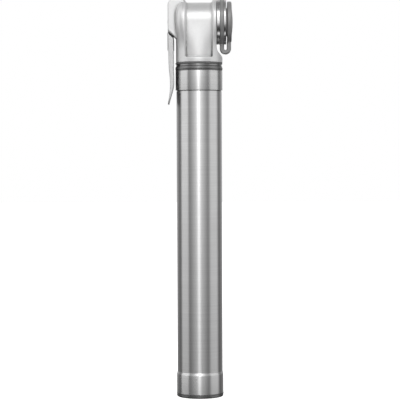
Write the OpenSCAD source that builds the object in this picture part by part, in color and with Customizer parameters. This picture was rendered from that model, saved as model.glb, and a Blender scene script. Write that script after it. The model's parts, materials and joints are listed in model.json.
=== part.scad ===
// Telescopic mini bicycle pump: a handle tube that slides on an inner barrel, and a
// head with a cam lever and a screwed valve chuck. It stands on its end cap, closed.
// +Z runs up the barrel, +X out of the valve opening. Origin: middle of the foot's face.
// Sizes are in millimetres.

/* [Handle tube] */
// Outside diameter of the handle tube
tube_d = 21.7; // [21.6:0.05:21.8]
// Inside diameter of the handle tube
tube_bore_d = 18.8; // [18.8:0.02:18.86]
// Outside diameter of the two collars
collar_d = 22.4; // [22.2:0.1:22.5]
// Height of the foot under the bottom collar
foot_h = 2.1; // [2.0:0.05:2.2]
// Top of the bottom collar's straight part
bottom_collar_top = 10.9; // [9:0.1:11.2]
// Height of the joint between the tube and the top collar
top_collar_z = 146.4; // [145:0.1:147]
// Height of the top collar's upper face
top_collar_top = 155.8; // [155.6:0.1:155.9]
// Largest diameter of the two black lips
lip_d = 22.6; // [22.6:0.1:22.8]

/* [Barrel and pistons] */
// Outside diameter of the inner barrel
barrel_d = 15.0; // [14.98:0.01:15.02]
// Inside diameter of the inner barrel
barrel_bore_d = 13.4; // [13.38:0.01:13.42]
// Diameter of the piston rod
rod_d = 6.0; // [5.96:0.01:6.02]
// Clearance of a part that slides in a bore
slide_gap = 0.09; // [0.07:0.01:0.1]
// Clearance of a rubber seal on the wall it slides on
seal_gap = 0.04; // [0.03:0.01:0.05]
// Clearance of a part that is pressed or glued in
fixed_gap = 0.03; // [0.02:0.01:0.04]

/* [Head] */
// Height of the head's lower face
head_z = 160.1; // [160:0.1:160.2]
// Height of the chuck's axis
chuck_z = 179.1; // [179:0.1:179.4]
// Outside diameter of the neck
neck_d = 22.5; // [22.4:0.1:22.6]
// Diameter of the chuck barrel's two flanges
flange_d = 21.3; // [21:0.1:21.4]
// Diameter of the waist between the flanges
waist_d = 18.7; // [18.5:0.1:19]
// Depth of the recessed panel in the neck
panel_depth = 1.0; // [0.8:0.1:1.2]
// Height of the panel's lower edge
panel_z = 162.8; // [162.5:0.1:163.2]
// Width across the two lever ears
ears_w = 10.0; // [9.6:0.1:10.2]

/* [Lever] */
// Travel of the plunger when the lever is thrown
lock_travel = 1.7; // [1.5:0.1:1.8]
// Smallest radius of the lever's cam
cam_low = 3.6; // [3.5:0.05:3.65]
// Width of the lever's blade
blade_w = 10.0; // [8:0.5:10]
// Diameter of the lever's pin
pin_d = 2.5; // [2.4:0.1:2.6]

/* [Valve chuck] */
// Diameter of the hole in the valve grommet
valve_d = 8.0; // [7.8:0.1:8.2]
// Length of the valve grommet
grommet_l = 8.0; // [7.9:0.1:8]
// Outside diameter of the chuck nut
nut_d = 21.5; // [21.3:0.1:21.6]
// Outside diameter of the dust cap
cap_d = 19.6; // [19:0.1:20]
// Width of the dust cap's strap
strap_w = 5.0; // [4:0.5:6]

/* [Hidden] */
$fn = 72;

eps = 0.01;
through = 2;              // how far a cutting tool runs past a face
tube_r = tube_d / 2;
tube_bore_r = tube_bore_d / 2;
collar_r = collar_d / 2;
seat_r = tube_r - 0.5;    // turned-down ends of the tube, under the collars
collar_cone_top = bottom_collar_top + 1.2;
barrel_r = barrel_d / 2;
barrel_bore_r = barrel_bore_d / 2;
rod_r = rod_d / 2;

// Stack inside the foot of the handle tube, from the bottom up
plug_z = 4.6;
plug_top = 11.5;
screw_head_top = 6.4;
rod_z = 7.6;
bumper_top = 13.0;
large_piston_z = 13.3;
barrel_z = 17.3;          // lower end of the inner barrel, on the large piston's floor
large_piston_top = 21.3;

// Stack inside the top of the barrel
piston_z = 150;
piston_cup_z = 153.5;
piston_nut_z = 154.5;
stud_top = 158;
stud_r = 2;
valve_seat_z = 159.8;
poppet_z = 162;
barrel_top = 169.3;
poppet_pocket_r = 3;

// Rings between the head and the top bush
bush_top = top_collar_top + 2.1;
neck_ring_z = bush_top + 0.1;
neck_ring_top = 158.95;

// Stations of the chuck along X
head_left = -11.6;
head_right = 8.4;
waist_left = -5.7;
waist_right = 6.5;
ear_left = -14.8;
chamber_left = -4.2;
chamber_right = 1.6;
chamber_r = 6.8;
thread_r = 8.0;
grommet_x = 2.0;
grommet_r = 6.6;
nut_face = 13.0;
nut_groove = [10.1, 11.9];
nut_groove_r = 9.9;
nut_recess_x = 11.2;
nut_recess_r = 7.0;
cap_x = 13.5;
cap_top_x = 16.2;

// Lever
pivot = [-10.8, chuck_z];
hub_back = pivot[0] - ear_left;
slot_w = 5.2;
slot_r = cam_low + lock_travel + 0.3;
hub_w = slot_w - 0.3;

// ---------- shared shapes ----------

// Round ring about the barrel's axis
module ring(r_out, r_in, z0, z1)
    difference() {
        translate([0, 0, z0]) cylinder(r = r_out, h = z1 - z0);
        translate([0, 0, z0 - through]) cylinder(r = r_in, h = z1 - z0 + 2 * through);
    }

// Bar about the barrel's axis
module bar(r, z0, z1) translate([0, 0, z0]) cylinder(r = r, h = z1 - z0);

// Round rubber ring about the barrel's axis, between two radii
module o_ring(r_in, r_out, z)
    translate([0, 0, z])
        rotate_extrude()
            translate([(r_in + r_out) / 2, 0]) circle(r = (r_out - r_in) / 2);

// Turned shape about the chuck's axis, from a profile of [radius, x] points
module turned(points)
    translate([0, 0, chuck_z]) rotate([0, 90, 0]) rotate_extrude() polygon(points);

// Bar about the chuck's axis
module chuck_bar(r, x0, x1)
    translate([x0, 0, chuck_z]) rotate([0, 90, 0]) cylinder(r = r, h = x1 - x0);

// Bar across the head, parallel to Y
module cross_bar(at, r, y0, y1)
    translate([at[0], y0, at[1]]) rotate([-90, 0, 0]) cylinder(r = r, h = y1 - y0);

// Slab with an outline of [x, z] points, centred across Y
module slab(w) translate([0, w / 2, 0]) rotate([90, 0, 0]) linear_extrude(w) children();

// Points of an arc in a profile
function arc(c, r, a0, a1, n = 8) =
    [for (i = [0:n]) let (a = a0 + (a1 - a0) * i / n) c + r * [cos(a), sin(a)]];

// Closed round wire wound on a cylinder
module coil(r, wire_r, z0, z1, turns, per_turn = 20, sides = 8) {
    rings = turns * per_turn;
    points = [
        for (i = [0:rings], j = [0:sides - 1])
            let (t = 360 * i / per_turn, a = 360 * j / sides, d = r + wire_r * cos(a))
            [d * cos(t), d * sin(t), z0 + (z1 - z0) * i / rings + wire_r * sin(a)]
    ];
    side_faces = [
        for (i = [0:rings - 1], j = [0:sides - 1])
            let (k = (j + 1) % sides, a = i * sides, b = a + sides)
            [a + j, b + j, b + k, a + k]
    ];
    start_face = [for (j = [0:sides - 1]) j];
    end_face = [for (j = [sides - 1:-1:0]) rings * sides + j];
    polyhedron(points, concat(side_faces, [start_face, end_face]), convexity = 10);
}

// ---------- handle: what the hand holds ----------

module handle_tube() color("silver") {
    joint_line = 0.3;     // fine groove under the top collar
    rotate_extrude()
        polygon([
            [tube_bore_r, foot_h + 0.2],
            [seat_r, foot_h + 0.2],
            [seat_r, collar_cone_top],
            [tube_r, collar_cone_top],
            [tube_r, top_collar_z - joint_line],
            [tube_r - joint_line, top_collar_z - joint_line],
            [tube_r - joint_line, top_collar_z],
            [seat_r, top_collar_z],
            [seat_r, top_collar_top],
            [tube_bore_r, top_collar_top]
        ]);
}

module top_collar() color("silver")
    ring(collar_r, seat_r + fixed_gap, top_collar_z, top_collar_top);

module bottom_collar() color("silver")
    rotate_extrude()
        polygon([
            [seat_r + fixed_gap, foot_h],
            [collar_r, foot_h],
            [collar_r, bottom_collar_top],
            [tube_r, collar_cone_top],
            [seat_r + fixed_gap, collar_cone_top]
        ]);

// Black mouth of the handle tube, a bearing for the barrel, with a small lip
module top_bush() color("dimgray") {
    sleeve_z = top_collar_top - 12;
    lip = 0.55;           // half the height of the lip
    lip_mid = top_collar_top + 1.05;
    bush_r = collar_r - 0.05;
    rotate_extrude()
        polygon([
            [barrel_r + slide_gap, sleeve_z],
            [tube_bore_r - fixed_gap, sleeve_z],
            [tube_bore_r - fixed_gap, top_collar_top],
            [bush_r, top_collar_top],
            [bush_r, lip_mid - lip],
            [lip_d / 2, lip_mid - lip / 2],
            [lip_d / 2, lip_mid + lip / 2],
            [bush_r, lip_mid + lip],
            [bush_r, bush_top],
            [barrel_r + slide_gap, bush_top]
        ]);
}

// Black foot with a rounded edge, a lip and a spigot that fits in the tube
module end_cap() color("dimgray") {
    edge = 1.4;
    spigot_r = tube_bore_r - fixed_gap;
    rotate_extrude()
        polygon(concat(
            [[0, 0]],
            arc([collar_r - edge, edge], edge, -90, 0),
            [[lip_d / 2, edge], [lip_d / 2, foot_h], [spigot_r, foot_h],
             [spigot_r, plug_z], [spigot_r - 1.2, plug_z], [spigot_r - 1.2, 1.6], [0, 1.6]]
        ));
}

// Alloy plug that closes the handle tube and carries the rod
module end_plug() color("gainsboro") {
    groove = [8.2, 9.8];
    difference() {
        bar(tube_bore_r - fixed_gap, plug_z, plug_top);
        ring(tube_bore_r + through, tube_bore_r - 1.5, groove[0], groove[1]);
        bar(rod_r + fixed_gap, rod_z, plug_top + through);
        bar(1.65, plug_z - through, plug_top);
        bar(3.3, plug_z - through, screw_head_top);
    }
}

module plug_oring() color("black")
    o_ring(tube_bore_r - 1.46, tube_bore_r - seal_gap, 9.0);

module bumper() color("black")
    ring(tube_bore_r - 0.6, rod_r + 0.6, plug_top, bumper_top);

// Socket-head screw that holds the rod in the plug
module rod_screw() color("gray") {
    difference() {
        union() {
            bar(3.0, plug_z + 0.1, screw_head_top);
            bar(1.5, screw_head_top, 13);
        }
        translate([0, 0, plug_z - through]) cylinder(r = 1.45, h = through + 1.1, $fn = 6);
    }
}

module piston_rod() color("lightgray")
    difference() {
        union() {
            bar(rod_r, rod_z, piston_z);
            bar(stud_r, piston_z, stud_top);
        }
        bar(1.5 + fixed_gap, rod_z - through, 14);
    }

module piston() color("whitesmoke")
    difference() {
        bar(barrel_bore_r - slide_gap, piston_z, piston_cup_z);
        bar(stud_r + fixed_gap, piston_z - through, piston_cup_z + through);
        ring(barrel_bore_r + through, barrel_bore_r - 0.8, 151.2, 152.4);
    }

// Rubber cup whose lip opens towards the head
module piston_cup() color("black") {
    lip_r = barrel_bore_r - seal_gap;
    rotate_extrude()
        polygon([
            [stud_r + fixed_gap, piston_cup_z],
            [lip_r - 0.5, piston_cup_z],
            [lip_r, piston_cup_z + 3],
            [lip_r - 0.7, piston_cup_z + 3],
            [lip_r - 1.4, piston_nut_z],
            [stud_r + fixed_gap, piston_nut_z]
        ]);
}

module piston_nut() color("gray")
    difference() {
        translate([0, 0, piston_nut_z]) cylinder(r = 4.0, h = 2.4, $fn = 6);
        bar(stud_r + fixed_gap, piston_nut_z - through, piston_nut_z + 2.4 + through);
    }

// ---------- barrel, which moves with the head ----------

module inner_barrel() color("gainsboro")
    ring(barrel_r, barrel_bore_r, barrel_z, barrel_top);

module barrel_oring() color("black")
    o_ring(barrel_r + 0.03, barrel_r + 1.03, 163.15);

module large_piston() color("whitesmoke") {
    seal_groove = [14.4, 16.4];
    rod_groove = [14.9, 16.5];
    difference() {
        bar(tube_bore_r - slide_gap, large_piston_z, large_piston_top);
        bar(barrel_r + fixed_gap, barrel_z, large_piston_top + through);
        bar(rod_r + slide_gap, large_piston_z - through, barrel_z + eps);
        bar(rod_r + 1.2, rod_groove[0], rod_groove[1]);
        ring(tube_bore_r + through, tube_bore_r - 1.7, seal_groove[0], seal_groove[1]);
    }
}

module large_piston_seal() color("black")
    o_ring(tube_bore_r - 1.66, tube_bore_r - seal_gap, 15.4);

module rod_seal() color("black")
    o_ring(rod_r + seal_gap, rod_r + 1.16, 15.7);

// Insert with the outlet valve's seat and the pocket its poppet lifts in
module valve_seat() color("goldenrod")
    difference() {
        bar(barrel_bore_r - fixed_gap, valve_seat_z, barrel_top);
        bar(1.2, valve_seat_z - through, poppet_z + eps);
        bar(poppet_pocket_r, poppet_z, barrel_top + through);
    }

module check_poppet() color("whitesmoke") {
    bar(2.6, poppet_z + 0.05, poppet_z + 1.2);
    bar(0.8, poppet_z + 1.2, 166.5);
    bar(1.0, poppet_z - 0.7, poppet_z + 0.05);
}

module check_spring() color("silver")
    coil(r = 2.15, wire_r = 0.3, z0 = poppet_z + 1.6, z1 = barrel_top - 0.35, turns = 5);

module neck_ring() color("silver")
    ring(10.85, barrel_r + fixed_gap, neck_ring_z, neck_ring_top);

module neck_gasket() color("dimgray")
    ring(neck_d / 2 - 0.05, barrel_r + fixed_gap, neck_ring_top, head_z);

// ---------- head ----------

// Side outline of the neck: straight on the left, a sloped shoulder on the right
module neck_outline() {
    shoulder = [162.0, 165.6];
    polygon([
        [-neck_d, head_z], [neck_d, head_z], [neck_d / 2, shoulder[0]],
        [head_right, shoulder[1]], [head_right, chuck_z], [-neck_d, chuck_z]
    ]);
}

module neck()
    intersection() {
        bar(neck_d / 2, head_z, chuck_z);
        slab(neck_d + 2) neck_outline();
    }

// Space outside the recessed panel that wraps the neck and the chuck barrel
module panel_cut() {
    core_r = neck_d / 2 - panel_depth;
    taper_z = chuck_z - 7;
    difference() {
        translate([waist_left, -neck_d, panel_z])
            cube([waist_right - waist_left, 2 * neck_d, 30]);
        bar(core_r, head_z, taper_z);
        translate([0, 0, taper_z])
            cylinder(r1 = core_r, r2 = waist_d / 2, h = chuck_z - taper_z);
        chuck_bar(waist_d / 2, waist_left - 1, waist_right + 1);
    }
}

// Horizontal chuck barrel, its left end well rounded
module chuck_barrel() {
    round_l = 4;
    round_s = 0.6;
    flange_r = flange_d / 2;
    turned(concat(
        [[0, head_left]],
        arc([flange_r - round_l, head_left + round_l], round_l, -90, 0, 10),
        arc([flange_r - round_s, waist_left - round_s], round_s, 0, 90, 4),
        [[waist_d / 2, waist_left], [waist_d / 2, waist_right]],
        arc([flange_r - round_s, waist_right + round_s], round_s, -90, 0, 4),
        [[flange_r, head_right - 0.4], [flange_r - 0.4, head_right], [0, head_right]]
    ));
}

module ear_outline() {
    corner_r = 2.2;
    top = chuck_z + 10.3;
    polygon([
        [ear_left, chuck_z - 4.1], [-10.6, chuck_z - 8.1], [-7, chuck_z - 8.1], [-7, top],
        [ear_left + corner_r, top], [ear_left, top - corner_r]
    ]);
    translate([ear_left + corner_r, top - corner_r]) circle(r = corner_r);
}

// Slot between the ears for the lever's hub, closed above it
module hub_slot() {
    slot_bottom = 165;
    cross_bar(pivot, slot_r, -slot_w / 2, slot_w / 2);
    translate([ear_left - through, -slot_w / 2, slot_bottom])
        cube([pivot[0] - ear_left + through, slot_w, chuck_z + slot_r - slot_bottom]);
}

module head_body() color("lightgray")
    difference() {
        union() {
            difference() {
                union() {
                    neck();
                    chuck_barrel();
                }
                panel_cut();
            }
            slab(ears_w) ear_outline();
        }
        hub_slot();
        cross_bar(pivot, pin_d / 2 + 0.02, -4.7, neck_d);
        chuck_bar(2.0 + slide_gap, pivot[0], chamber_left + eps);
        chuck_bar(chamber_r, chamber_left, chamber_right + eps);
        chuck_bar(thread_r, chamber_right, head_right + through);
        bar(barrel_r + fixed_gap, head_z - through, barrel_top);
        bar(barrel_r + 1.1, 162.5, 163.8);
        translate([1.2, 0, barrel_top - eps]) cylinder(r = 1.0, h = 4);
    }

module lever_pin() color("gray") cross_bar(pivot, pin_d / 2, -4.5, 8.4);

// ---------- lever ----------

// Radius of the hub at an angle from +X towards +Z: a cam over the first quarter turn
function hub_r(a) =
    let (high = cam_low + lock_travel)
    a < 0 ? cam_low
    : a <= 90 ? cam_low + lock_travel * a / 90
    : high + (hub_back - high) * (a - 90) / 90;

module hub_outline() {
    neck_right = -12.05;
    polygon(concat(
        [for (a = [-70:5:180]) pivot + hub_r(a) * [cos(a), sin(a)]],
        [[ear_left, 168], [neck_right, 168], [neck_right, chuck_z - 3.6]]
    ));
}

// Side outline of the blade, from the gap under the ears to the kicked-out tip
module blade_outline()
    polygon([
        [ear_left, 173.7], [-14.6, 162], [-14.45, 156.8], [-14.05, 153.6],
        [-13.85, 150], [-13.9, 147], [-14.3, 143.5], [-15.0, 140.0], [-14.4, 139.8],
        [-13.2, 144.1], [-12.3, 146.9], [-11.85, 150], [-11.95, 152.8],
        [-12.05, 157], [-12.1, 171.15]
    ]);

module lever() color("lightgray")
    difference() {
        union() {
            slab(hub_w) hub_outline();
            slab(blade_w) blade_outline();
        }
        cross_bar(pivot, pin_d / 2 + 0.07, -neck_d, neck_d);
    }

// ---------- chuck ----------

// Hollow piston: its domed stem meets the cam, its rim squeezes the grommet
module plunger() color("whitesmoke") {
    stem_r = 2.0;
    stem_tip = pivot[0] + cam_low + 0.15;
    disc = [chamber_left + 0.1, -1.1];
    oring_groove = [-3.4, -1.8];
    tube_out = 5.4;
    hollow_r = 4.3;
    difference() {
        union() {
            chuck_bar(stem_r, stem_tip + stem_r, disc[0]);
            translate([stem_tip + stem_r, 0, chuck_z]) sphere(r = stem_r);
            chuck_bar(chamber_r - slide_gap, disc[0], disc[1]);
            chuck_bar(tube_out, disc[1], grommet_x);
            chuck_bar(grommet_r, grommet_x - 1, grommet_x);
        }
        difference() {
            chuck_bar(chamber_r + 1, oring_groove[0], oring_groove[1]);
            chuck_bar(5.5, oring_groove[0] - 1, oring_groove[1] + 1);
        }
        chuck_bar(hollow_r, -0.6, grommet_x + through);
        cross_bar([0.2, chuck_z], 0.7, -tube_out - 1, tube_out + 1);
    }
}

module plunger_oring() color("black")
    translate([-2.6, 0, chuck_z]) rotate([0, 90, 0])
        o_ring(5.54, chamber_r - seal_gap, 0);

module valve_grommet() color("black")
    difference() {
        chuck_bar(grommet_r, grommet_x, grommet_x + grommet_l);
        chuck_bar(valve_d / 2, grommet_x - through, grommet_x + grommet_l + through);
    }

// Nut with a ridged spigot in the head, a groove for the cap's ring and a recessed face
module chuck_nut() color("silver") {
    nut_r = nut_d / 2;
    spigot_r = thread_r - slide_gap;
    spigot_x = 2.6;
    root_r = spigot_r - 0.5;
    pitch = 1.25;
    threads = 4;
    thread_x = 3.0;
    thread = [
        for (i = [0:threads - 1], p = [[root_r, 0], [spigot_r, 0.4], [spigot_r, 0.7], [root_r, 1.1]])
            [p[0], thread_x + i * pitch + p[1]]
    ];
    difference() {
        turned(concat(
            [[0, spigot_x], [root_r, spigot_x]],
            thread,
            [[root_r, head_right + 0.1], [nut_r - 0.5, head_right + 0.1],
             [nut_r, head_right + 0.5], [nut_r, nut_groove[0]],
             [nut_groove_r, nut_groove[0]], [nut_groove_r, nut_groove[1]],
             [nut_r, nut_groove[1]], [nut_r, nut_face - 0.4], [nut_r - 0.4, nut_face],
             [0, nut_face]]
        ));
        chuck_bar(grommet_r + 0.15, spigot_x - through, grommet_x + grommet_l);
        chuck_bar(valve_d / 2 + 0.4, spigot_x, nut_face + through);
        chuck_bar(nut_recess_r, nut_recess_x, nut_face + through);
    }
}

// ---------- dust cap on its strap ----------

module cap_ring() color("dimgray")
    difference() {
        chuck_bar(nut_d / 2, nut_groove[0] + 0.05, nut_groove[1] - 0.05);
        chuck_bar(nut_groove_r + 0.06, nut_groove[0] - 1, nut_groove[1] + 1);
    }

loop = [12.68, 166.4];    // centre of the strap's loop, where the cap swings
strap_in = 0.65;
strap_out = 2.68;

module cap_strap() color("dimgray") {
    leg_h = 6;
    difference() {
        union() {
            translate([loop[0], 0, loop[1]]) rotate([90, 0, 0])
                intersection() {
                    difference() {
                        translate([0, 0, -strap_w / 2]) cylinder(r = strap_out, h = strap_w);
                        translate([0, 0, -strap_w]) cylinder(r = strap_in, h = 2 * strap_w);
                    }
                    translate([-5, -10, -5]) cube(10);
                }
            for (x = [loop[0] - strap_out, loop[0] + strap_in])
                translate([x, -strap_w / 2, loop[1]])
                    cube([strap_out - strap_in, strap_w, leg_h]);
        }
        chuck_bar(nut_d / 2 + 0.03, head_right, nut_face + 0.1);
        chuck_bar(cap_d / 2 + 0.03, nut_face, cap_top_x + 1);
    }
}

// Domed rubber cap with a raised rim and a plug that fits the nut's recess
module dust_cap() color("dimgray") {
    r = cap_d / 2;
    plug_r = nut_recess_r - 0.3;
    rim_x = 15.6;
    rim_w = 1.2;
    dome_x = rim_x - 0.25;
    dome_r = r - rim_w - 0.3;
    steps = 8;
    turned(concat(
        [[0, 11.5], [plug_r - 0.3, 11.5], [plug_r, 11.8], [plug_r, cap_x],
         [r - 0.3, cap_x], [r, cap_x + 0.3], [r, rim_x - 0.4], [r - 0.4, rim_x],
         [r - rim_w, rim_x]],
        [for (i = [0:steps])
            let (d = dome_r * (1 - i / steps))
            [d, dome_x + (cap_top_x - dome_x) * (1 - pow(d / dome_r, 2))]]
    ));
}

handle_tube();
top_collar();
top_bush();
bottom_collar();
end_cap();
end_plug();
plug_oring();
bumper();
rod_screw();
piston_rod();
piston();
piston_cup();
piston_nut();
inner_barrel();
barrel_oring();
large_piston();
large_piston_seal();
rod_seal();
valve_seat();
check_poppet();
check_spring();
neck_ring();
neck_gasket();
head_body();
lever_pin();
lever();
plunger();
plunger_oring();
valve_grommet();
chuck_nut();
cap_ring();
cap_strap();
dust_cap();
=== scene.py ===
"""Looks of the mini pump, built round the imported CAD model.

The frame is in metres. Every shape here is worked out in millimetres and scaled once, when its
mesh is made. Turned parts are lathed from a rounded outline, the cast head and the lever are
meshed from distance fields, so that their edges and fillets are real geometry, and the strap is
swept. Nodes that keep their CAD shape get a material only."""

import json
import math

import bmesh
import bpy
import numpy as np
from mathutils import Matrix, Vector


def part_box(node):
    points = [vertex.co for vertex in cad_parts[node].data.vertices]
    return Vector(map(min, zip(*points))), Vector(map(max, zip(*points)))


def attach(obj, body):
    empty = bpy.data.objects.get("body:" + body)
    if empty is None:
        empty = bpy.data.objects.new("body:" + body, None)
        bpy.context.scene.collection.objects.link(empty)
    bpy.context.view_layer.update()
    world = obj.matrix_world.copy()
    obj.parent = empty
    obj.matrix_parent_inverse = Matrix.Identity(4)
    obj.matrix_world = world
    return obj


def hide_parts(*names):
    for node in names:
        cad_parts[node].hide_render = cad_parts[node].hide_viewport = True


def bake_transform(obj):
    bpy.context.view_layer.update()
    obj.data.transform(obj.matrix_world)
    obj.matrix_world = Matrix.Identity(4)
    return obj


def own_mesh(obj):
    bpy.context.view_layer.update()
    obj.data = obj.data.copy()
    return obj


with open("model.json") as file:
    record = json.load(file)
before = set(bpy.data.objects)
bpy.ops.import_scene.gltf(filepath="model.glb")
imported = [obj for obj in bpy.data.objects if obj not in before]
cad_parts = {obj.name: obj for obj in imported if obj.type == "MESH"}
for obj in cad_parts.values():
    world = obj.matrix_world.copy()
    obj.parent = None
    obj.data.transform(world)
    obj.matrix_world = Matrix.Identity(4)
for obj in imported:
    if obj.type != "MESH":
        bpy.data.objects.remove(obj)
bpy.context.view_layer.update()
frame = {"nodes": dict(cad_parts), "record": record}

MM = 0.001


def low(node):
    """Lowest corner of a CAD node, in millimetres."""
    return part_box(node)[0] / MM


def high(node):
    """Highest corner of a CAD node, in millimetres."""
    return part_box(node)[1] / MM


# ---------- sizes, in millimetres, most of them from the frame ----------

TUBE_R = high("handle_tube").x
COLLAR_R = high("top_collar").x
LIP_R = high("top_bush").x
BARREL_R = high("inner_barrel").x
NECK_R = high("head_body").y
NUT_R = high("chuck_nut").y
CAP_R = high("dust_cap").y
PIN_R = (high("lever_pin").x - low("lever_pin").x) / 2

# The handle tube's inside, and its outside where it is turned down for the collars
BORE_R = TUBE_R - 1.45
SEAT_R = TUBE_R - 0.5

TOP_COLLAR_Z = low("top_collar").z
TOP_COLLAR_TOP = high("top_collar").z
HEAD_LEFT = low("head_body").x
# The flat end of the head, which the chuck nut screws up to
HEAD_RIGHT = 8.4

# Joint lines at the foot and under the head, a little lower than the CAD's, as in the photo
FOOT_TOP = low("bottom_collar").z - 0.35
HEAD_Z = low("head_body").z - 0.4

# The chuck's axis is parallel to X; the lever's, through PIVOT in X and Z, is parallel to Y
CHUCK_Z = (low("chuck_nut").z + high("chuck_nut").z) / 2
PIVOT = (
    (low("lever_pin").x + high("lever_pin").x) / 2,
    (low("lever_pin").z + high("lever_pin").z) / 2,
)

# Left between pieces that are pressed together, so that their surfaces don't coincide
GAP = 0.03


# ---------- materials ----------

# Brightness of worn and handled metal, and of the painted shade in its gaps and hollows, each
# times the metal's own
WORN, HANDLED, PAINTED_SHADE = 1.12, 0.97, 0.08
# Share of the wear that shows along edges
WEAR = 0.5
# How far noise is stretched along X, Y and Z to make turning lines round an axis
LINES_ROUND = {"Z": (90, 90, 1), "X": (1, 90, 90)}


class Nodes:
    """A short way to write a node tree: add() makes a node and links or sets its inputs."""

    def __init__(self, tree):
        self.tree = tree
        tree.nodes.clear()

    def add(self, kind, inputs=None, **settings):
        node = self.tree.nodes.new(kind)
        for name, value in settings.items():
            setattr(node, name, value)
        for name, value in (inputs or {}).items():
            if isinstance(value, bpy.types.NodeSocket):
                self.tree.links.new(value, node.inputs[name])
            else:
                node.inputs[name].default_value = value
        return node

    def math(self, operation, a, b=0.0):
        return self.add("ShaderNodeMath", {0: a, 1: b}, operation=operation).outputs[0]

    def remap(self, value, old, new):
        """Eases value from one range to another, and stops at the new range's ends."""
        return self.add(
            "ShaderNodeMapRange",
            {"Value": value, "From Min": old[0], "From Max": old[1],
             "To Min": new[0], "To Max": new[1]},
            interpolation_type="SMOOTHSTEP",
        ).outputs["Result"]

    def mix(self, share, a, b):
        """Colour a where share is 0, colour b where it is 1."""
        node = self.add("ShaderNodeMix", data_type="RGBA")
        colours = [s for s in node.inputs if s.type == "RGBA"]
        self.tree.links.new(share, node.inputs["Factor"])
        for socket, value in zip(colours, (a, b)):
            if isinstance(value, bpy.types.NodeSocket):
                self.tree.links.new(value, socket)
            else:
                socket.default_value = value
        return next(s for s in node.outputs if s.type == "RGBA")

    def noise(self, size, stretch=(1, 1, 1), detail=3.0, rough=0.55):
        """Noise with features of about size mm, stretched along some of the object's axes."""
        place = self.add("ShaderNodeTexCoord").outputs["Object"]
        scale = [1 / (size * MM * s) for s in stretch]
        mapped = self.add("ShaderNodeMapping", {"Vector": place, "Scale": scale})
        return self.add(
            "ShaderNodeTexNoise",
            {"Vector": mapped.outputs["Vector"], "Scale": 1.0, "Detail": detail,
             "Roughness": rough},
        ).outputs["Fac"]

    def painted_shade_mask(self, reach, unshaded_sky):
        """Mask for painted shade: 0 deep in gaps narrower than reach mm, 1 where at least the
        given share of the sky is seen.
        """
        sky = self.add("ShaderNodeAmbientOcclusion", {"Distance": reach * MM}, samples=8)
        return self.remap(sky.outputs["AO"], (unshaded_sky - 0.55, unshaded_sky), (0.0, 1.0))

    def edges(self, radius):
        """1 along outer edges, 0 elsewhere, broken up by noise."""
        bevel = self.add("ShaderNodeBevel", {"Radius": radius * MM}, samples=4)
        normal = self.add("ShaderNodeNewGeometry").outputs["Normal"]
        dot = self.add(
            "ShaderNodeVectorMath", {0: bevel.outputs["Normal"], 1: normal},
            operation="DOT_PRODUCT",
        ).outputs["Value"]
        edge = self.remap(dot, (0.995, 0.90), (0.0, 1.0))
        patches = self.remap(self.noise(1.5), (0.3, 0.65), (0.25, 1.0))
        return self.math("MULTIPLY", edge, patches)

    def bump(self, height, depth):
        """The normal of a surface with a relief of depth mm."""
        return self.add("ShaderNodeBump", {
            "Strength": 1.0, "Distance": depth * MM, "Height": height,
        }).outputs["Normal"]


def grey(tone, warm=0.0):
    """A linear colour: neutral, or with warm above 0 yellower."""
    return (tone * (1 + warm), tone, tone * (1 - warm), 1)


def new_material(name):
    material = bpy.data.materials.new(name)
    material.use_nodes = True
    return material, Nodes(material.node_tree)


def finish_material(nodes, inputs):
    shader = nodes.add("ShaderNodeBsdfPrincipled", inputs)
    nodes.add("ShaderNodeOutputMaterial", {"Surface": shader.outputs["BSDF"]})


def metal(name, tone, rough, relief, turned=None, anisotropy=0.0, tone_shift=0.05, warm=0.0,
          metallic=1.0, unshaded_sky=0.7):
    """Metal with fine lines turned round an axis, or a blasted grain where turned is None.

    relief is the depth of the lines or the grain in mm, and tone_shift how much the tone varies
    with them. Edges are worn bright. Painted shade darkens the colour of hollows and gaps that
    see less of the sky than the last argument's share."""
    material, n = new_material(name)
    if turned:
        fine = n.noise(0.28, LINES_ROUND[turned], 2.0)
        coarse = n.noise(1.3, LINES_ROUND[turned], 3.0, 0.7)
        streak = n.math("ADD", n.math("MULTIPLY", fine, 0.5), n.math("MULTIPLY", coarse, 0.5))
    else:
        streak = n.noise(0.9, detail=5.0, rough=0.6)
    cloud = n.noise(14.0)
    varied = n.mix(n.remap(streak, (0.35, 0.65), (0, 1)),
                   grey(tone * (1 - tone_shift), warm), grey(tone * (1 + tone_shift), warm))
    handled = n.mix(n.remap(cloud, (0.35, 0.7), (0, 0.5)), varied, grey(tone * HANDLED, warm))
    edge = n.edges(0.25)
    worn = n.mix(n.math("MULTIPLY", edge, WEAR), handled, grey(min(1, tone * WORN), warm))
    # Painted shade: the colour darkens where ambient occlusion finds gaps and hollows
    colour = n.mix(n.painted_shade_mask(1.6, unshaded_sky), grey(tone * PAINTED_SHADE), worn)
    base_rough = n.remap(cloud, (0.3, 0.7), (rough * 0.94, rough * 1.06))
    roughness = n.math("SUBTRACT", base_rough, n.math("MULTIPLY", edge, 0.1 * WEAR))
    inputs = {
        "Base Color": colour, "Metallic": metallic, "Roughness": roughness,
        "Anisotropic": anisotropy,
    }
    if turned:
        tangent = n.add("ShaderNodeTangent", direction_type="RADIAL", axis=turned)
        inputs["Tangent"] = tangent.outputs["Tangent"]
        inputs["Anisotropic Rotation"] = 0.25
        inputs["Normal"] = n.bump(streak, relief)
    else:
        inputs["Normal"] = n.bump(n.noise(0.22, rough=0.6), relief)
    finish_material(n, inputs)
    return material


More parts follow.
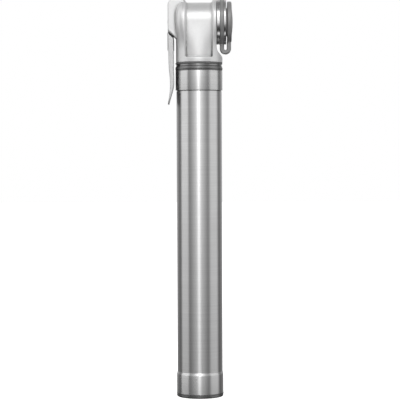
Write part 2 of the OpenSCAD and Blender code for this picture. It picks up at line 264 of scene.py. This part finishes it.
def moulded(name, tone, rough, relief, specular=0.5, warm=0.0, ior=1.5):
    """Plastic or rubber with a moulded grain of relief mm, a little dust and scuffed edges."""
    material, n = new_material(name)
    dusty = grey(tone * 1.25 + 0.01, warm)
    scuffed = grey(tone * 1.7 + 0.02, warm)
    dust = n.remap(n.noise(5.0, detail=6.0, rough=0.7), (0.4, 0.75), (0, 0.35))
    varied = n.mix(dust, grey(tone, warm), dusty)
    colour = n.mix(n.math("MULTIPLY", n.edges(0.3), WEAR), varied, scuffed)
    finish_material(n, {
        "Base Color": colour,
        "Roughness": n.remap(n.noise(0.8), (0.3, 0.7), (rough * 0.9, rough * 1.1)),
        "Normal": n.bump(n.noise(0.35), relief),
        "Specular IOR Level": specular,
        "IOR": ior,
    })
    return material


METALS = {
    "brushed_tube": dict(tone=0.66, rough=0.30, relief=0.003, turned="Z", anisotropy=0.9),
    "turned_collar": dict(tone=0.65, rough=0.28, relief=0.002, turned="Z", anisotropy=0.9),
    # The cast head's painted shade reaches every surface that sees less than the whole sky
    "cast_alloy": dict(tone=0.82, rough=0.42, relief=0.01, tone_shift=0.02, metallic=0.55,
                       unshaded_sky=1.0),
    "lever_alloy": dict(tone=0.64, rough=0.42, relief=0.01, tone_shift=0.03, metallic=0.6),
    "turned_nut": dict(tone=0.66, rough=0.24, relief=0.002, turned="X", anisotropy=0.6),
    "bright_ring": dict(tone=0.30, rough=0.34, relief=0.002, turned="Z", anisotropy=0.7),
    "plain_alloy": dict(tone=0.68, rough=0.25, relief=0.001, turned="Z", anisotropy=0.5),
    "steel": dict(tone=0.55, rough=0.30, relief=0.004),
    "brass": dict(tone=0.62, rough=0.30, relief=0.002, turned="Z", anisotropy=0.4, warm=0.3),
}
MOULDED = {
    "black_plastic": dict(tone=0.05, rough=0.24, relief=0.005, specular=1.0, ior=1.82),
    "white_plastic": dict(tone=0.75, rough=0.40, relief=0.004, warm=0.02),
    "seal_rubber": dict(tone=0.02, rough=0.60, relief=0.006, specular=0.35),
    "ring_rubber": dict(tone=0.16, rough=0.45, relief=0.008, specular=0.4),
    "cap_rubber": dict(tone=0.25, rough=0.34, relief=0.010, specular=0.9),
}
MATERIALS = {name: metal(name, **look) for name, look in METALS.items()}
MATERIALS.update({name: moulded(name, **look) for name, look in MOULDED.items()})

SLOT_OF = {part["node"]: part["material_slot"] for part in frame["record"]["subparts"]}

for node, slot in SLOT_OF.items():
    finishes = frame["nodes"][node].data.materials
    finishes.clear()
    finishes.append(MATERIALS[slot])


# ---------- making pieces ----------

def make_piece(node, vertices, faces, body, sharp=32):
    """A mesh, in millimetres, that stands for a CAD node and rides on its body.

    Edges that turn by more than sharp degrees are shaded sharp. The strap is made with no body."""
    mesh = bpy.data.meshes.new(node + "_form")
    mesh.from_pydata((np.array(vertices) * MM).tolist(), [], faces)
    shape = bmesh.new()
    shape.from_mesh(mesh)
    bmesh.ops.recalc_face_normals(shape, faces=shape.faces)
    shape.to_mesh(mesh)
    shape.free()
    mesh.shade_smooth()
    mesh.set_sharp_from_angle(angle=math.radians(sharp))
    piece = bpy.data.objects.new(node + "_form", mesh)
    bpy.context.scene.collection.objects.link(piece)
    mesh.materials.append(MATERIALS[SLOT_OF[node]])
    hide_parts(node)
    if body:
        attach(piece, body)
    return piece


def rounded(outline, steps=4):
    """An outline of (radius, height) or (radius, height, corner radius) with corners rounded."""
    points = []
    count = len(outline)
    for i, corner in enumerate(outline):
        here = np.array(corner[:2], float)
        size = corner[2] if len(corner) > 2 else 0
        if size <= 0:
            points.append(here)
            continue
        back = np.array(outline[i - 1][:2], float) - here
        ahead = np.array(outline[(i + 1) % count][:2], float) - here
        back_l, ahead_l = np.linalg.norm(back), np.linalg.norm(ahead)
        turn = np.dot(back, ahead) / (back_l * ahead_l)
        half = math.acos(max(-1.0, min(1.0, turn))) / 2
        reach = min(size / math.tan(half), 0.48 * back_l, 0.48 * ahead_l)
        start, end = here + back / back_l * reach, here + ahead / ahead_l * reach
        for k in range(steps + 1):
            t = k / steps
            points.append((1 - t) ** 2 * start + 2 * t * (1 - t) * here + t ** 2 * end)
    return points


def turned_point(axis, r, h, angle):
    """A point r from the barrel's axis (Z), the chuck's (X) or the lever pin's (Y), h along it."""
    u, v = r * math.cos(angle), r * math.sin(angle)
    if axis == "Z":
        return (u, v, h)
    if axis == "X":
        return (h, u, CHUCK_Z + v)
    return (PIVOT[0] + u, h, PIVOT[1] + v)


def lathe(node, body, outline, axis="Z", steps=144):
    """A turned piece: a closed outline of (radius, height) swept round an axis."""
    vertices, faces, rings = [], [], []
    for r, h in rounded(outline):
        start = len(vertices)
        # A point on the axis is one vertex, which its whole ring shares
        count = 1 if r < 1e-6 else steps
        for j in range(count):
            vertices.append(turned_point(axis, r, h, 2 * math.pi * j / steps))
        rings.append([start + j % count for j in range(steps)])
    for i, ring in enumerate(rings):
        other = rings[(i + 1) % len(rings)]
        if ring[0] == ring[1] and other[0] == other[1]:
            continue
        for j in range(steps):
            k = (j + 1) % steps
            corners = [ring[j], other[j], other[k], ring[k]]
            faces.append(list(dict.fromkeys(corners)))
    return make_piece(node, vertices, faces, body)


# ---------- distance fields, in millimetres and negative inside ----------

def meet(a, b, r=0.0):
    """What is inside both, with an outer edge of radius r where they meet."""
    if not r:
        return np.maximum(a, b)
    u, v = np.maximum(a + r, 0), np.maximum(b + r, 0)
    return np.minimum(-r, np.maximum(a, b)) + np.hypot(u, v)


def join(a, b, r=0.0):
    """What is inside either, with a fillet of radius r between them."""
    if not r:
        return np.minimum(a, b)
    u, v = np.maximum(r - a, 0), np.maximum(r - b, 0)
    return np.maximum(r, np.minimum(a, b)) - np.hypot(u, v)


def cut(a, b, r=0.0):
    """What is inside a and outside b, with the rim of the cut rounded by r."""
    return meet(a, -b, r)


def span(v, lo, hi):
    """What lies between lo and hi along one axis."""
    return np.maximum(lo - v, v - hi)


def half_plane(u, v, start, end):
    """Distance to the right of the line from start to end; the left side is inside."""
    along = np.array(end, float) - np.array(start, float)
    along /= np.linalg.norm(along)
    return (u - start[0]) * along[1] - (v - start[1]) * along[0]


# ---------- meshing a distance field ----------

CELL_CORNERS = [(i, j, k) for i in (0, 1) for j in (0, 1) for k in (0, 1)]


def crossed_cells(inside):
    """The grid cells that the surface crosses, and each cell's number among them, or -1."""
    nx, ny, nz = (s - 1 for s in inside.shape)
    count = np.zeros((nx, ny, nz), np.int8)
    for i, j, k in CELL_CORNERS:
        count += inside[i:nx + i, j:ny + j, k:nz + k]
    crossed = (count > 0) & (count < len(CELL_CORNERS))
    cells = np.argwhere(crossed)
    number = np.full(crossed.shape, -1)
    number[crossed] = np.arange(len(cells))
    return cells, number


def cell_points(values, cells):
    """In each cell, the mean of the places where the cell's edges cross the surface."""
    total, hits = np.zeros((len(cells), 3)), np.zeros(len(cells))
    for a in CELL_CORNERS:
        for axis in range(3):
            if a[axis]:
                continue
            b = tuple(1 if k == axis else a[k] for k in range(3))
            fa = values[tuple((cells + a).T)]
            fb = values[tuple((cells + b).T)]
            change = (fa < 0) != (fb < 0)
            share = np.where(change, fa / np.where(change, fa - fb, 1), 0)
            point = np.array(a) + share[:, None] * (np.array(b) - np.array(a))
            total += point * change[:, None]
            hits += change
    return cells + total / hits[:, None]


def cell_faces(inside, number):
    """A quad round each grid edge that crosses the surface, facing outwards."""
    faces = []
    shape = inside.shape
    for axis in range(3):
        u, v = (axis + 1) % 3, (axis + 2) % 3
        first = np.moveaxis(inside, axis, 0)
        change = np.moveaxis(first[1:] != first[:-1], 0, axis)
        edges = np.argwhere(change)
        edges = edges[(edges[:, u] > 0) & (edges[:, v] > 0)
                      & (edges[:, u] < shape[u] - 1) & (edges[:, v] < shape[v] - 1)]
        around = []
        for du, dv in ((-1, -1), (0, -1), (0, 0), (-1, 0)):
            cell = edges.copy()
            cell[:, u] += du
            cell[:, v] += dv
            around.append(number[tuple(cell.T)])
        quads = np.stack(around, 1)
        flip = ~inside[tuple(edges.T)]
        quads[flip] = quads[flip][:, ::-1]
        faces.extend(quads.tolist())
    return faces


def pull_to_surface(field, points, step):
    """One Newton step of each point towards the field's zero level, of at most 0.4 cells."""
    h = 0.02
    x, y, z = points.T
    value = field(x, y, z)
    slope = np.stack([
        field(x + h, y, z) - field(x - h, y, z),
        field(x, y + h, z) - field(x, y - h, z),
        field(x, y, z + h) - field(x, y, z - h),
    ], 1) / (2 * h)
    size = np.maximum((slope ** 2).sum(1), 0.05)
    move = np.clip(value / size, -0.4 * step, 0.4 * step)
    return points - move[:, None] * slope


def solid(node, body, field, step, sharp=40):
    """Meshes a distance field by surface nets on a grid round the CAD node, step mm apart."""
    margin = 2 * step
    lo = np.array([c - margin for c in low(node)])
    hi = [c + margin for c in high(node)]
    shape = [int(math.ceil((b - a) / step)) + 1 for a, b in zip(lo, hi)]
    x, y, z = (lo[k] + step * np.arange(shape[k]) for k in range(3))
    values = field(x[:, None, None], y[None, :, None], z[None, None, :])
    values = np.broadcast_to(values, shape).astype(np.float32)
    inside = values < 0
    cells, number = crossed_cells(inside)
    vertices = lo + step * cell_points(values, cells)
    for _ in range(4):
        vertices = pull_to_surface(field, vertices, step)
    return make_piece(node, vertices, cell_faces(inside, number), body, sharp)


# ---------- handle ----------

def build_handle():
    foot_z = low("handle_tube").z
    # The tube has a groove just under the top collar, and a seat for the bottom one
    groove = 0.3
    seat_end = high("bottom_collar").z
    lathe("handle_tube", "handle", [
        (BORE_R, foot_z), (SEAT_R, foot_z, 0.1), (SEAT_R, seat_end), (TUBE_R, seat_end, 0.05),
        (TUBE_R, TOP_COLLAR_Z - groove, 0.1), (TUBE_R - groove, TOP_COLLAR_Z - groove),
        (TUBE_R - groove, TOP_COLLAR_Z), (SEAT_R, TOP_COLLAR_Z),
        (SEAT_R, TOP_COLLAR_TOP, 0.1), (BORE_R, TOP_COLLAR_TOP),
    ])
    lathe("top_collar", "handle", [
        (SEAT_R + GAP, TOP_COLLAR_Z), (COLLAR_R, TOP_COLLAR_Z, 0.2),
        (COLLAR_R, TOP_COLLAR_TOP, 0.15), (SEAT_R + GAP, TOP_COLLAR_TOP),
    ])
    cone = 1.2
    lathe("bottom_collar", "handle", [
        (SEAT_R + GAP, FOOT_TOP), (COLLAR_R, FOOT_TOP, 0.2),
        (COLLAR_R, seat_end - cone, 0.5), (TUBE_R, seat_end, 0.05), (SEAT_R + GAP, seat_end),
    ])
    # Half-width of the bush's lip, and what is left for the barrel to slide in
    lip, slide = 0.55, 0.09
    lip_mid = TOP_COLLAR_TOP + 1.05
    sleeve, top = low("top_bush").z, high("top_bush").z
    bush_r = COLLAR_R - 0.05
    lathe("top_bush", "handle", [
        (BARREL_R + slide, sleeve, 0.2), (BORE_R - GAP, sleeve, 0.3),
        (BORE_R - GAP, TOP_COLLAR_TOP), (bush_r, TOP_COLLAR_TOP, 0.1),
        (bush_r, lip_mid - lip, 0.1), (LIP_R, lip_mid - lip / 2, 0.2),
        (LIP_R, lip_mid + lip / 2, 0.2), (bush_r, lip_mid + lip, 0.1),
        (bush_r, top, 0.25), (BARREL_R + slide, top, 0.3),
    ])
    build_foot()


def build_foot():
    """The end cap: a foot with a shallow ring sunk in its sole, and a spigot in the tube."""
    ring_in, ring_out, ring_depth, ring_side = 4.0, 8.0, 0.3, 0.4
    edge, wall_t, base_t = 1.4, 1.2, 1.6
    spigot, top = BORE_R - GAP, high("end_cap").z
    lathe("end_cap", "handle", [
        (0, 0), (ring_in, 0, 0.3), (ring_in + ring_side, ring_depth, 0.2),
        (ring_out - ring_side, ring_depth, 0.2), (ring_out, 0, 0.3),
        (COLLAR_R, 0, edge), (COLLAR_R, edge, 0.1), (LIP_R, edge + 0.1, 0.15),
        (LIP_R, FOOT_TOP, 0.1), (spigot, FOOT_TOP), (spigot, top, 0.2),
        (spigot - wall_t, top, 0.2), (spigot - wall_t, base_t, 0.3), (0, base_t),
    ])


# ---------- barrel and neck rings ----------

def build_barrel():
    bore = 6.7
    bottom, top = low("inner_barrel").z, high("inner_barrel").z
    lathe("inner_barrel", "head", [
        (bore, bottom), (BARREL_R, bottom, 0.15), (BARREL_R, top, 0.2), (bore, top),
    ])
    inner = BARREL_R + GAP
    for node, edge in (("neck_ring", 0.12), ("neck_gasket", 0.25)):
        r, bottom, top = high(node).y, low(node).z, min(high(node).z, HEAD_Z)
        lathe(node, "head", [(inner, bottom), (r, bottom, edge), (r, top, edge), (inner, top)])


# ---------- head ----------

# The chuck barrel: its radius, its left end under the ears, and how round that end is
FLANGE_R = 10.65
HEAD_BARREL_LEFT = -11.0
END_ROUND = 4.0
# The barrel turns into the neck between the chuck's axis and NECK_TOP; the shoulder rises from
# the neck's side to the barrel's right end
NECK_TOP = 165.0
SHOULDER = ((NECK_R, 162.4), (HEAD_RIGHT, 165.4))

# The recessed panel: its radius round the barrel, its two sides, its lower end, its depth below
# the surface round it, and how steep its sides are, in degrees
WAIST_R = 9.35
WAIST = (-6.2, 6.4)
PANEL_Z = 162.2
PANEL_DEPTH = 1.15
WALL_SLOPE = 65

# The ears: half of their width along Y, their right side inside the barrel, and the line of
# their underside
EAR_HALF = 5.0
EAR_RIGHT = -7.0
EAR_Z = CHUCK_Z - 8.1
EAR_UNDER = ((HEAD_LEFT, CHUCK_Z - 4.1), (-10.6, EAR_Z))

# The lever's slot between the ears: half-width, radius round the pivot and right end; and the
# front end of the pin's blind hole
SLOT_HALF = 2.6
SLOT_R = 5.6
SLOT_RIGHT = -5.0
PIN_HOLE_FRONT = -4.7

# Inside, along the chuck's axis: the hole for the plunger's stem, the plunger's chamber and the
# nut's thread, each with its radius and its ends in X; the thread is open to the right
STEM_R, STEM_X = 2.09, (PIVOT[0], -4.1)
CHAMBER_R, CHAMBER_X = 6.8, (-4.2, 1.7)
THREAD_R, THREAD_LEFT = 8.0, 1.6
# Inside the neck: the groove for the barrel's seal, its depth and ends in Z; and the air hole up
# to the chamber, its place in X, radius and ends in Z
SEAL_DEPTH, SEAL_Z = 1.1, (162.5, 163.8)
AIR_X, AIR_R, AIR_Z = 1.2, 1.0, (169, 173.5)


def wall(across, out, where, facing):
    """A sloped side of the recessed panel, negative on its solid side.

    across is the place along the line that crosses the wall at where, out is the height above
    the wall's middle, and facing is 1 if the panel lies at greater values of across, else -1."""
    lean = math.radians(WALL_SLOPE)
    return facing * (across - where) * math.sin(lean) + out * math.cos(lean)


def drop(z, lowest):
    """0 at the chuck's axis and above it, easing to 1 at the height lowest and below it."""
    t = np.clip((CHUCK_Z - z) / (CHUCK_Z - lowest), 0, 1)
    return t * t * (3 - 2 * t)


def outer_shell(x, y, z, out):
    """The horizontal barrel running smoothly down into the round neck, with no panel yet.

    out is the distance from the barrel's axis, and below the axis from the plane y = 0."""
    barrel = meet(HEAD_BARREL_LEFT - x, out - FLANGE_R, END_ROUND)
    neck = np.hypot(x, y) - NECK_R
    shell = barrel + drop(z, NECK_TOP) * (neck - barrel)
    side = join(x - HEAD_RIGHT, half_plane(x, z, *SHOULDER), 1.0)
    return meet(meet(shell, side, 0.3), HEAD_Z - z, 0.25)


def panel_floor(x, y, z, out):
    """The floor of the recessed panel: round the barrel at the top, round the neck below."""
    waist = out - WAIST_R
    core = np.hypot(x, y) - (NECK_R - 1.0)
    return waist + drop(z, PANEL_Z) * (core - waist)


def panel_side(x, z, out, where, facing):
    """The wall at one side of the panel, steep and the same all the way down."""
    neck = math.sqrt(NECK_R ** 2 - where ** 2)
    shell = FLANGE_R + drop(z, NECK_TOP) * (neck - FLANGE_R)
    return wall(x, out - shell + PANEL_DEPTH / 2, where, facing)


def ears(x, y, z):
    """The block that holds the lever's pin, before its slot is cut."""
    outline = meet(HEAD_LEFT - x, z - high("head_body").z, 2.6)
    outline = meet(meet(outline, half_plane(x, z, *EAR_UNDER), 0.35), x - EAR_RIGHT)
    outline = meet(outline, EAR_Z - z)
    return meet(outline, np.abs(y) - EAR_HALF, 0.5)


def head_holes(x, y, z):
    """What is cut out of the head, in order, each with the rounding of its rim."""
    r = np.hypot(y, z - CHUCK_Z)
    column = np.hypot(x, y)
    from_pivot = np.hypot(x - PIVOT[0], z - PIVOT[1])
    open_side = meet(x - PIVOT[0], z - (PIVOT[1] + SLOT_R))
    slot = meet(join(from_pivot - SLOT_R, open_side), np.abs(y) - SLOT_HALF)
    pin_hole = meet(from_pivot - PIN_R - 0.02, PIN_HOLE_FRONT - y)
    stem = meet(r - STEM_R, span(x, *STEM_X))
    chamber = meet(r - CHAMBER_R, span(x, *CHAMBER_X))
    thread = meet(r - THREAD_R, THREAD_LEFT - x)
    seal_groove = meet(column - BARREL_R - SEAL_DEPTH, span(z, *SEAL_Z))
    socket = meet(join(column - BARREL_R - GAP, seal_groove), z - high("inner_barrel").z)
    air = meet(np.hypot(x - AIR_X, y) - AIR_R, span(z, *AIR_Z))
    return [
        (meet(slot, x - SLOT_RIGHT), 0.25),
        (pin_hole, 0.15),
        (join(join(stem, chamber), thread), 0.15),
        (socket, 0.2),
        (air, 0.0),
    ]


def head_field(x, y, z):
    out = np.where(z < CHUCK_Z, np.abs(y), np.hypot(y, z - CHUCK_Z))
    outer = outer_shell(x, y, z, out)
    sides = join(panel_side(x, z, out, WAIST[0], 1), panel_side(x, z, out, WAIST[1], -1))
    surround = join(sides, wall(z, outer + PANEL_DEPTH / 2, PANEL_Z, 1), 0.4)
    body = meet(outer, join(panel_floor(x, y, z, out), surround, 0.15), 0.45)
    body = join(body, ears(x, y, z), 0.2)
    for hole, rim in head_holes(x, y, z):
        body = cut(body, hole, rim)
    return body


def build_head():
    solid("head_body", "head", head_field, step=0.24)
    front, back = low("lever_pin").y, high("lever_pin").y
    lathe("lever_pin", "head", [
        (0, front), (PIN_R, front, 0.3), (PIN_R, back, 0.3), (0, back),
    ], axis="Y", steps=48)


# ---------- lever ----------

# The blade's two sides, as (height, x), from its kicked-out tip up to the ears
BLADE_OUTER = [
    (140.0, -15.0), (143.5, -14.3), (147, -13.9), (150, -13.85), (153.6, -14.05),
    (156.8, -14.45), (162, -14.6), (173.7, -14.8),
]
BLADE_INNER = [
    (139.8, -14.4), (144.1, -13.2), (146.9, -12.3), (150, -11.85), (152.8, -11.95),
    (157, -12.05), (171.15, -12.1),
]
# Its slanted upper end, along the underside of the ears
BLADE_END = ((-12.1, 171.15), (HEAD_LEFT, 173.7))
BLADE_TIP = 139.85
BLADE_HALF = 5.0
# The hub turns in the slot, and presses the plunger with its cam, from its low to its high side
HUB_HALF = 2.45
CAM_LOW, CAM_HIGH = 3.6, 5.3
# The stalk that joins the hub to the blade: its right side and its lower end
STALK_RIGHT, STALK_Z = -12.05, 166


def soft_line(z, points, reach=1.6):
    """X of a line through (z, x) points, its bends softened over reach mm."""
    heights, places = zip(*points)
    offsets = np.linspace(-reach, reach, 5)
    return sum(np.interp(z + d, heights, places) for d in offsets) / len(offsets)


def blade_field(x, y, z):
    crown = 0.1 * (y / BLADE_HALF) ** 2
    outer = soft_line(z, BLADE_OUTER) + crown
    inner = soft_line(z, BLADE_INNER)
    across = np.abs(y) - BLADE_HALF
    blade = meet(meet(outer - x, x - inner, 0.25), across, 0.25)
    blade = meet(blade, meet(across, BLADE_TIP - z, 3.0), 0.2)
    return meet(blade, half_plane(x, z, *BLADE_END), 0.3)


def lever_field(x, y, z):
    dx, dz = x - PIVOT[0], z - PIVOT[1]
    from_pivot = np.hypot(dx, dz)
    back = PIVOT[0] - HEAD_LEFT
    hub_r = np.interp(np.degrees(np.arctan2(dz, dx)), [-180, -90, 0, 90, 180],
                      [back, CAM_LOW, CAM_LOW, CAM_HIGH, back])
    stalk = meet(span(x, HEAD_LEFT, STALK_RIGHT), span(z, STALK_Z, PIVOT[1]))
    hub = meet(join(from_pivot - hub_r, stalk, 0.5), np.abs(y) - HUB_HALF, 0.3)
    lever = join(blade_field(x, y, z), hub, 0.8)
    return cut(lever, from_pivot - PIN_R - 0.07, 0.2)


def build_lever():
    solid("lever", "lever", lever_field, step=0.22)


# ---------- chuck: nut, ring, grommet, cap ----------

# Floor of the nut's groove, which the ring sits in
GROOVE_R = 9.9


def build_nut():
    # The threaded spigot: crest and root, pitch, first turn, inner end
    crest_r, root_r, pitch, first, start = NUT_R - 2.84, NUT_R - 3.34, 1.25, 3.0, 2.6
    thread = []
    for i in range(4):
        x = first + i * pitch
        thread += [(root_r, x), (crest_r, x + 0.4, 0.1), (crest_r, x + 0.7, 0.1),
                   (root_r, x + 1.1)]
    # Inside: the grommet's bore, the inner lip that holds it, and the recess for the cap's plug
    bore_r, hole_r, recess_r = 6.75, 4.4, 7.0
    lip_in, lip_out = 10.0, 11.2
    groove_in, groove_out = 10.1, 11.9
    face, body_x = high("chuck_nut").x, HEAD_RIGHT + 0.1
    lathe("chuck_nut", "nut", [(bore_r, start), (root_r, start, 0.1)] + thread + [
        (root_r, body_x), (NUT_R - 0.25, body_x, 0.1), (NUT_R, body_x + 0.25, 0.1),
        (NUT_R, groove_in, 0.2), (GROOVE_R, groove_in, 0.1), (GROOVE_R, groove_out, 0.1),
        (NUT_R, groove_out, 0.2), (NUT_R, face, 0.4), (recess_r, face, 0.3),
        (recess_r, lip_out), (hole_r, lip_out, 0.2), (hole_r, lip_in), (bore_r, lip_in),
    ], axis="X")


def build_ring():
    inner, outer = GROOVE_R + 0.06, high("cap_ring").y
    start, end = low("cap_ring").x, high("cap_ring").x
    lathe("cap_ring", "cap_carrier", [
        (inner, start, 0.1), (outer, start, 0.3), (outer, end, 0.3), (inner, end, 0.1),
    ], axis="X")


def build_grommet():
    inner, outer = 4.0, high("valve_grommet").y
    start, end = low("valve_grommet").x, high("valve_grommet").x
    grommet = lathe("valve_grommet", "head", [
        (inner, start, 0.5), (outer, start, 0.2), (outer, end, 0.2), (inner, end, 0.6),
    ], axis="X")
    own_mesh(grommet)


def build_cap():
    """The dust cap: a plug, a disc with a flat rim, and a domed face a little below the rim."""
    plug_x, plug_r = low("dust_cap").x, 6.7
    back, rim_x, rim_w = 13.5, 15.6, 1.2
    dome_x, dome_r, dome_top = rim_x - 0.25, CAP_R - rim_w - 0.3, high("dust_cap").x
    steps = 8
    dome = []
    for i in range(steps + 1):
        share = 1 - i / steps
        dome.append((dome_r * share, dome_x + (dome_top - dome_x) * (1 - share ** 2)))
    lathe("dust_cap", "dust_cap", [
        (0, plug_x), (plug_r - 0.3, plug_x, 0.2), (plug_r, plug_x + 0.3, 0.2),
        (plug_r, back, 0.2), (CAP_R, back, 0.45), (CAP_R, rim_x, 0.6),
        (CAP_R - rim_w, rim_x, 0.3),
    ] + dome, axis="X")


# ---------- strap ----------

# The middle of the strap's loop in X and Z, which the cap swings round; the loop's inner and
# outer radius; half of the strap's width; and how far its ends are sunk in the ring and the cap
LOOP = (12.68, 166.4)
STRAP_IN, STRAP_OUT = 0.65, 2.68
STRAP_HALF = 2.5
STRAP_SUNK = 0.1


def strap_section(steps=7):
    """Rounded section of the strap: (out from its middle line, across) round one loop."""
    thick = (STRAP_OUT - STRAP_IN) / 2
    corner = 0.55
    points = []
    for sx, sy, start in ((1, 1, 0), (-1, 1, 90), (-1, -1, 180), (1, -1, 270)):
        for k in range(steps + 1):
            a = math.radians(start + 90 * k / steps)
            points.append((sx * (thick - corner) + corner * math.cos(a),
                           sy * (STRAP_HALF - corner) + corner * math.sin(a)))
    return points


def strap_leg(section, side, radius, share):
    """One ring of the leg at side -1 (the ring's) or 1 (the cap's), share of the way up to the
    underside of the round piece of that radius."""
    middle = (STRAP_IN + STRAP_OUT) / 2
    ring = []
    for out, y in section:
        top = CHUCK_Z - math.sqrt(radius ** 2 - y * y) + STRAP_SUNK
        ring.append((LOOP[0] + side * (middle + out), y, LOOP[1] + (top - LOOP[1]) * share))
    return ring


def strap_turn(section, angle):
    """One ring of the half loop under the legs."""
    middle = (STRAP_IN + STRAP_OUT) / 2
    return [(LOOP[0] + (middle + out) * math.cos(angle), y,
             LOOP[1] + (middle + out) * math.sin(angle)) for out, y in section]


def build_strap(legs=6, turns=40):
    """A U of flat rubber from the ring's underside to the cap's underside."""
    section = strap_section()
    rings = [strap_leg(section, -1, NUT_R, 1 - i / legs) for i in range(legs)]
    rings += [strap_turn(section, math.pi * (1 + i / turns)) for i in range(turns + 1)]
    rings += [strap_leg(section, 1, CAP_R, i / legs) for i in range(1, legs + 1)]
    vertices = [point for ring in rings for point in ring]
    n = len(section)
    faces = [list(range(n)), list(range(len(vertices) - n, len(vertices)))]
    for start in range(0, len(vertices) - n, n):
        for j in range(n):
            k = (j + 1) % n
            faces.append([start + j, start + k, start + n + k, start + n + j])
    strap = make_piece("cap_strap", vertices, faces, None)
    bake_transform(strap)


build_handle()
build_barrel()
build_head()
build_lever()
build_nut()
build_ring()
build_grommet()
build_cap()
build_strap()

spring = frame["nodes"]["check_spring"]
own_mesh(spring)


# ---------- studio ----------

# Soft boxes round the pump: azimuth from the camera's side (right is positive), half-width and
# edge in degrees; elevation, half-height and edge in degrees; brightness
SOFT_BOXES = {
    "key": (-3, 22, 24, 40, 10, 18, 2.0),
    "key skirt": (-3, 50, 30, 42, 8, 16, 0.45),
    "front strip": (-3, 3, 22, 20, 30, 50, 2.55),
    "front fill": (-3, 36, 50, 22, 32, 55, 0.75),
    "left": (-82, 23, 8, 28, 40, 46, 0.92),
    "right": (79, 26, 18, 24, 45, 50, 0.73),
    "back": (180, 42, 36, 25, 30, 30, 0.38),
    "back strip": (180, 6, 12, -4, 10, 10, 1.8),
    "table bounce": (0, 50, 60, -63, 7, 10, 1.1),
    "ceiling": (0, 200, 1, 60, 70, 40, 0.2),
}
# Light from every other direction
ROOM = 0.05
WHITE = (1, 1, 1, 1)


def build_world():
    """Soft boxes as a function of direction; the camera itself sees a white backdrop."""
    world = bpy.data.worlds.new("studio")
    bpy.context.scene.world = world
    world.use_nodes = True
    n = Nodes(world.node_tree)
    direction = n.add("ShaderNodeTexCoord").outputs["Generated"]
    xyz = n.add("ShaderNodeSeparateXYZ", {"Vector": direction}).outputs
    towards = n.math("MULTIPLY", xyz["Y"], -1.0)
    azimuth = n.math("DEGREES", n.math("ARCTAN2", xyz["X"], towards))
    elevation = n.math("DEGREES", n.math("ARCSINE", xyz["Z"]))
    total = ROOM
    for az, az_half, az_edge, el, el_half, el_edge, power in SOFT_BOXES.values():
        turn = n.math("ABSOLUTE", n.math("SUBTRACT", azimuth, az))
        off = n.math("MINIMUM", turn, n.math("SUBTRACT", 360.0, turn))
        rise = n.math("ABSOLUTE", n.math("SUBTRACT", elevation, el))
        wide = n.remap(off, (az_half - az_edge / 2, az_half + az_edge / 2), (1, 0))
        tall = n.remap(rise, (el_half - el_edge / 2, el_half + el_edge / 2), (1, 0))
        lit = n.math("MULTIPLY", n.math("MULTIPLY", wide, tall), power)
        total = n.math("ADD", total, lit)
    light = n.add("ShaderNodeBackground", {"Color": WHITE, "Strength": total})
    backdrop = n.add("ShaderNodeBackground", {"Color": WHITE, "Strength": 1.0})
    seen = n.add("ShaderNodeLightPath").outputs["Is Camera Ray"]
    mixed = n.add("ShaderNodeMixShader",
                  {0: seen, 1: light.outputs[0], 2: backdrop.outputs[0]})
    n.add("ShaderNodeOutputWorld", {"Surface": mixed.outputs[0]})


def build_floor():
    """A pale round floor, just under the foot and lit to nearly the backdrop's white."""
    material, n = new_material("floor")
    finish_material(n, {
        "Base Color": (0.9, 0.9, 0.9, 1), "Roughness": 0.9,
        "Emission Color": WHITE, "Emission Strength": 0.97,
    })
    radius, steps, below = 3.0, 96, -0.0002
    turns = [2 * math.pi * i / steps for i in range(steps)]
    rim = [(radius * math.cos(a), radius * math.sin(a), below) for a in turns]
    mesh = bpy.data.meshes.new("floor")
    mesh.from_pydata(rim, [], [list(range(steps))])
    mesh.materials.append(material)
    floor = bpy.data.objects.new("floor", mesh)
    bpy.context.scene.collection.objects.link(floor)
    floor.visible_glossy = False
    floor.visible_diffuse = False


def build_camera():
    """A long lens above the pump's middle, in front of it and tipped down a little."""
    place = Vector((0.00024, -0.7426, 0.1160))
    view_angle, tip, roll = math.radians(14.712), math.radians(1.686), math.radians(-0.23)
    data = bpy.data.cameras.new("camera")
    data.sensor_width = 36
    data.angle = view_angle
    data.clip_end = 20
    camera = bpy.data.objects.new("camera", data)
    bpy.context.scene.collection.objects.link(camera)
    turn = Matrix.Rotation(math.pi / 2 - tip, 4, "X") @ Matrix.Rotation(roll, 4, "Z")
    camera.matrix_world = Matrix.Translation(place) @ turn
    bpy.context.scene.camera = camera


build_world()
build_floor()
build_camera()
bpy.context.scene.view_settings.view_transform = "Standard"
